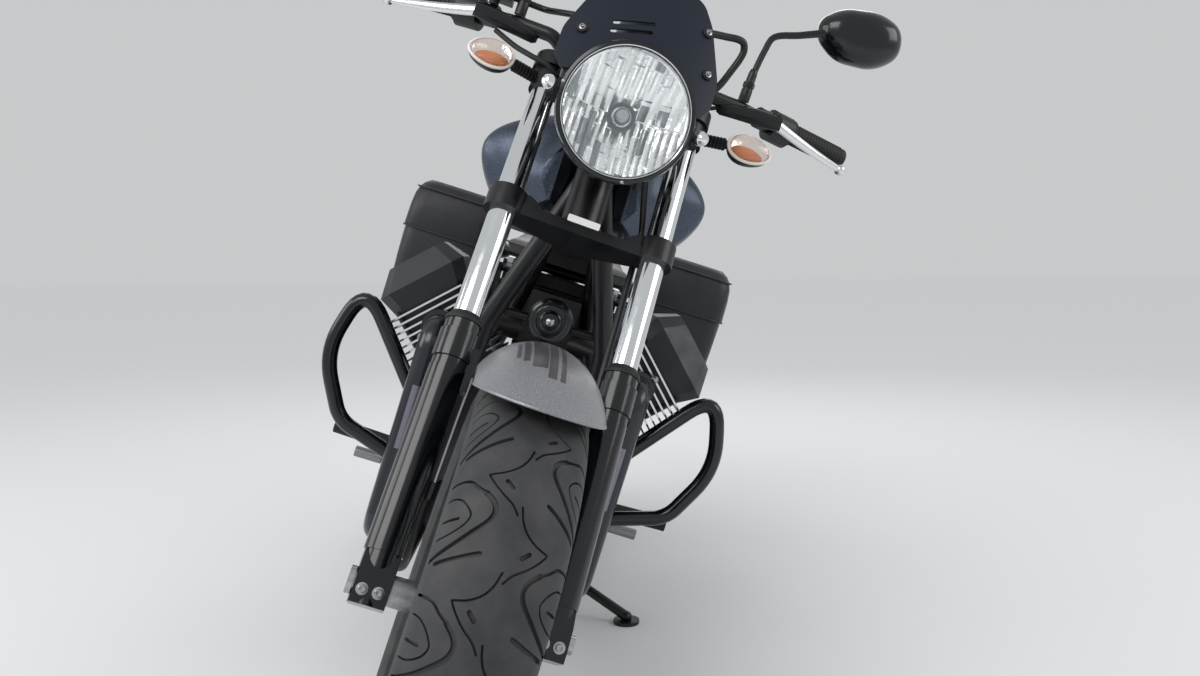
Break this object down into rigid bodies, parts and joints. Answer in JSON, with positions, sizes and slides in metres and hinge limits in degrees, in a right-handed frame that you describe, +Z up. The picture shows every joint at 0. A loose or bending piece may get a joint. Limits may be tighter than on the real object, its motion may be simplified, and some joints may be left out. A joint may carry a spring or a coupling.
{
  "type": "cruiser motorcycle",
  "caption": "Cruiser motorcycle with a transverse V engine, finned cylinders, saddlebags, engine guards, flyscreen and cast wheels, leaning on its side stand.",
  "frame": {"origin": "middle of the bottom of the box round the parked motorcycle, on the floor", "axes": "+X forward, +Y to the rider's left, +Z up; the motorcycle leans 18 degrees towards +Y"},
  "size_m": [2.2072, 1.0276, 1.3717],
  "materials": {
    "tyre_rubber": "matte",
    "wheel_black": "satin",
    "disc_steel": "satin",
    "fork_chrome": "polished",
    "slider_black": "gloss",
    "black_paint": "satin",
    "grip_rubber": "matte",
    "lever_alloy": "satin",
    "black_plastic": "matte",
    "indicator_plastic": "gloss",
    "lamp_glass": "gloss",
    "screen_plastic": "matte",
    "mudguard_silver": "satin",
    "axle_steel": "satin",
    "caliper_alloy": "satin",
    "engine_black": "matte",
    "exhaust_black": "satin",
    "horn_black": "satin",
    "tank_grey": "satin",
    "seat_leather": "matte",
    "bag_leather": "matte",
    "shock_steel": "satin",
    "peg_rubber": "matte"
  },
  "bodies": {
    "frame": {"main_frame": "black_paint", "engine_block": "engine_black", "cylinder_left": "engine_black", "cylinder_right": "engine_black", "air_box": "black_plastic", "exhaust_left": "exhaust_black", "exhaust_right": "exhaust_black", "horn": "horn_black", "fuel_tank": "tank_grey", "seat": "seat_leather", "side_covers": "tank_grey", "saddlebag_left": "bag_leather", "saddlebag_right": "bag_leather", "rear_mudguard": "tank_grey", "tail_unit": "black_plastic", "swing_arm": "black_paint", "rear_axle": "axle_steel", "rear_shocks": "shock_steel", "engine_guards": "black_paint", "foot_pegs": "peg_rubber", "foot_controls": "lever_alloy"},
    "fork": {"fork_tubes": "fork_chrome", "fork_sliders": "slider_black", "fork_clamps": "black_paint", "handlebar": "black_paint", "grips": "grip_rubber", "hand_levers": "lever_alloy", "switch_blocks": "black_plastic", "mirrors": "black_plastic", "front_indicators": "indicator_plastic", "headlight_shell": "black_paint", "headlight_lens": "lamp_glass", "flyscreen": "screen_plastic", "lamp_brackets": "black_paint", "instrument": "black_plastic", "front_mudguard": "mudguard_silver", "front_axle": "axle_steel", "front_caliper": "caliper_alloy"},
    "front_wheel": {"front_tyre": "tyre_rubber", "front_rim": "wheel_black", "front_disc": "disc_steel"},
    "rear_wheel": {"rear_tyre": "tyre_rubber", "rear_rim": "wheel_black", "rear_disc": "disc_steel"},
    "side_stand": {"side_stand": "black_paint"}
  },
  "joints": [
    {"name": "steering", "type": "hinge", "parent": "frame", "child": "fork", "pos_m": [0.50356, -0.01542, 0.78062], "axis": [-0.4433, 0.2768, 0.8526], "range_deg": [-39.4, 30.6]},
    {"name": "front_wheel", "type": "hinge", "parent": "fork", "child": "front_wheel", "pos_m": [0.78423, -0.16738, 0.30498], "axis": [-0.0692, 0.9377, -0.3404], "continuous": true},
    {"name": "rear_wheel", "type": "hinge", "parent": "frame", "child": "rear_wheel", "pos_m": [-0.68068, -0.16865, 0.31086], "axis": [-0.0005, 0.9511, -0.309], "continuous": true},
    {"name": "side_stand", "type": "hinge", "parent": "frame", "child": "side_stand", "pos_m": [-0.041, -0.07698, 0.10659], "axis": [0.0428, 0.5079, 0.8604], "range_deg": [0, 78]}
  ]
}
